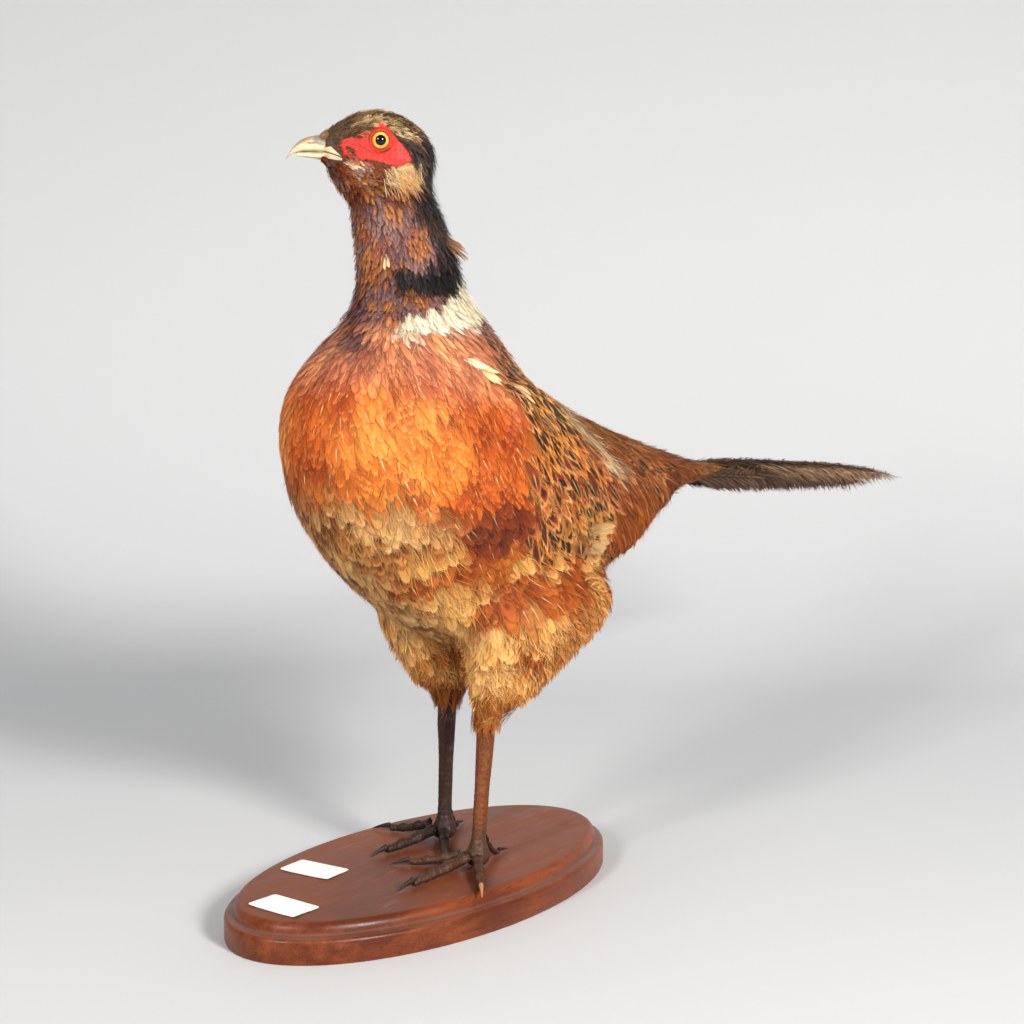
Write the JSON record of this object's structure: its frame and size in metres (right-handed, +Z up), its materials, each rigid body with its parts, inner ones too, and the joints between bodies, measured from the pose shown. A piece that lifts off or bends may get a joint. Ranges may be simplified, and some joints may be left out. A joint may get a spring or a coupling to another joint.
{
  "type": "taxidermy pheasant",
  "caption": "Still, life-size mounted young cock pheasant standing on an oval moulded wooden plinth, its head turned to one side and its tail level.",
  "frame": {"origin": "centre of the plinth's flat underside", "axes": "+X towards the tail, along the plinth's long side; +Y towards the bird's right side; +Z up"},
  "size_m": [0.6425, 0.144, 0.4292],
  "materials": {
    "wood": "dusty mahogany stain, satin",
    "paper": "blank white paper labels",
    "breast_feathers": "coppery chestnut feathers",
    "neck_feathers": "dark purple-brown feathers",
    "wing_feathers": "brown and buff barred feathers",
    "rump_feathers": "olive-buff feathers",
    "thigh_feathers": "loose buff-brown feathers",
    "tail_feathers": "dark grey-brown quill feathers",
    "horn": "pale horn, satin",
    "glass_eye": "orange glass eye with a black pupil",
    "leg_scales": "dark dried scales",
    "claw": "dark horn"
  },
  "bodies": {
    "root": {"plinth": "wood", "label_front": "paper", "label_rear": "paper", "trunk": "breast_feathers", "rump": "rump_feathers", "neck": "neck_feathers", "head": "neck_feathers", "bill_upper": "horn", "bill_lower": "horn", "eye_left": "glass_eye", "eye_right": "glass_eye", "wing_left": "wing_feathers", "wing_right": "wing_feathers", "thigh_left": "thigh_feathers", "thigh_right": "thigh_feathers", "shank_left": "leg_scales", "shank_right": "leg_scales", "toe_left_inner": "leg_scales", "claw_left_inner": "claw", "toe_left_middle": "leg_scales", "claw_left_middle": "claw", "toe_left_outer": "leg_scales", "claw_left_outer": "claw", "toe_left_rear": "leg_scales", "claw_left_rear": "claw", "toe_right_inner": "leg_scales", "claw_right_inner": "claw", "toe_right_middle": "leg_scales", "claw_right_middle": "claw", "toe_right_outer": "leg_scales", "claw_right_outer": "claw", "toe_right_rear": "leg_scales", "claw_right_rear": "claw", "tail_upper": "tail_feathers", "tail_lower": "tail_feathers"}
  },
  "joints": []
}
